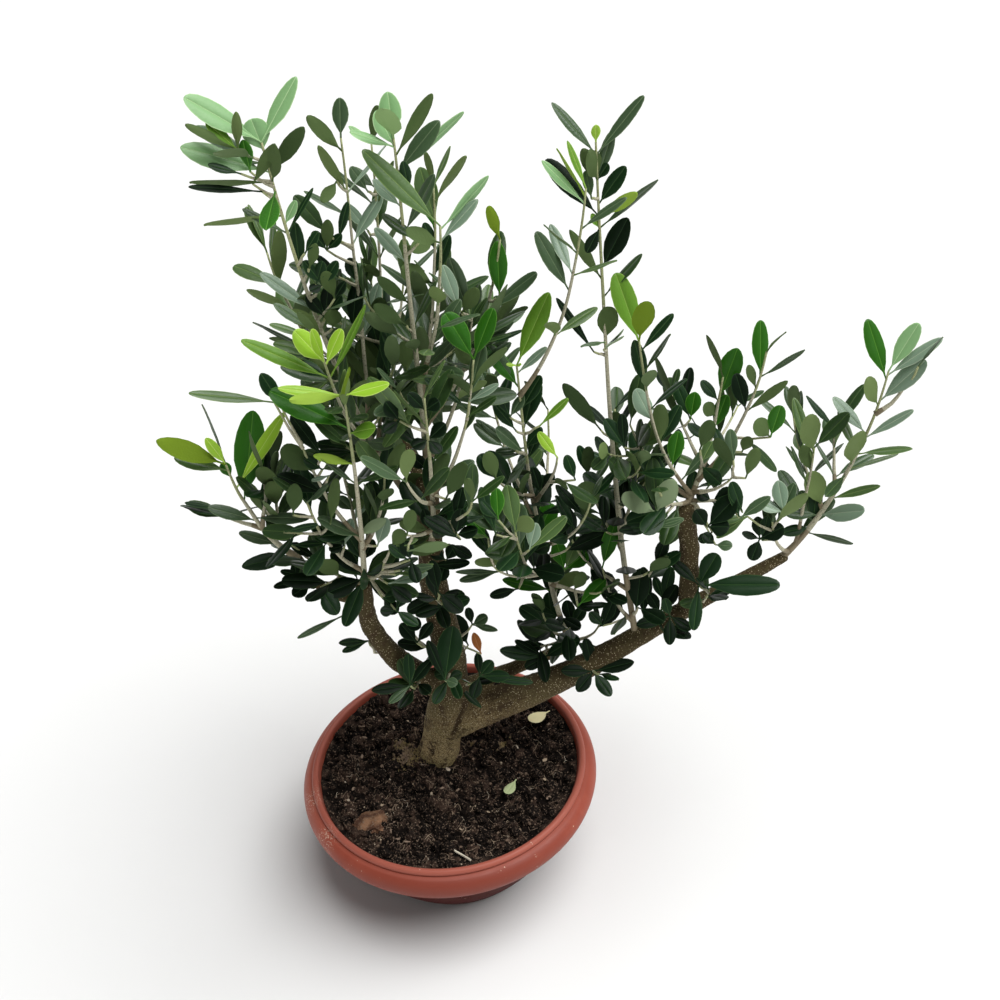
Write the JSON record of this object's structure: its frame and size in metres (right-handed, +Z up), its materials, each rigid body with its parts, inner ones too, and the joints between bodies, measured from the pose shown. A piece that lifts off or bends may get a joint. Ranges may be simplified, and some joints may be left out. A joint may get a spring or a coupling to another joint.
{
  "type": "potted olive bonsai",
  "caption": "Olive grown as a bonsai: short forked trunk, long low bough to one side, leafy upright shoots, in a round terracotta-coloured bowl filled with soil.",
  "frame": {"origin": "middle of the bowl's flat underside", "axes": "+Z up along the trunk; +X towards the long low bough, to the right as seen from the front; +Y to the back"},
  "size_m": [0.6114, 0.3249, 0.7346],
  "materials": {
    "bowl_plastic": "satin",
    "potting_soil": "matte",
    "bark": "matte",
    "foliage": "satin"
  },
  "bodies": {
    "root": {"bowl": "bowl_plastic", "soil": "potting_soil", "trunk": "bark", "right_bough": "bark", "right_upright": "bark", "left_bough": "bark", "left_outer_branch": "bark", "back_bough": "bark", "rear_bough": "bark", "foliage_upper_left": "foliage", "foliage_upper_middle": "foliage", "foliage_front": "foliage", "foliage_left": "foliage", "foliage_left_outer": "foliage", "foliage_centre": "foliage", "foliage_tall_middle": "foliage", "foliage_right": "foliage", "foliage_right_end": "foliage", "foliage_rear": "foliage", "tuft_trunk_front": "foliage", "tuft_trunk_left": "foliage", "tuft_fork": "foliage", "tuft_trunk_upper_left": "foliage", "tuft_trunk_upper_right": "foliage", "tuft_trunk_high": "foliage", "tuft_left_bough": "foliage", "tuft_bough_inner": "foliage", "tuft_bough_middle": "foliage", "tuft_bough_outer": "foliage"}
  },
  "joints": []
}
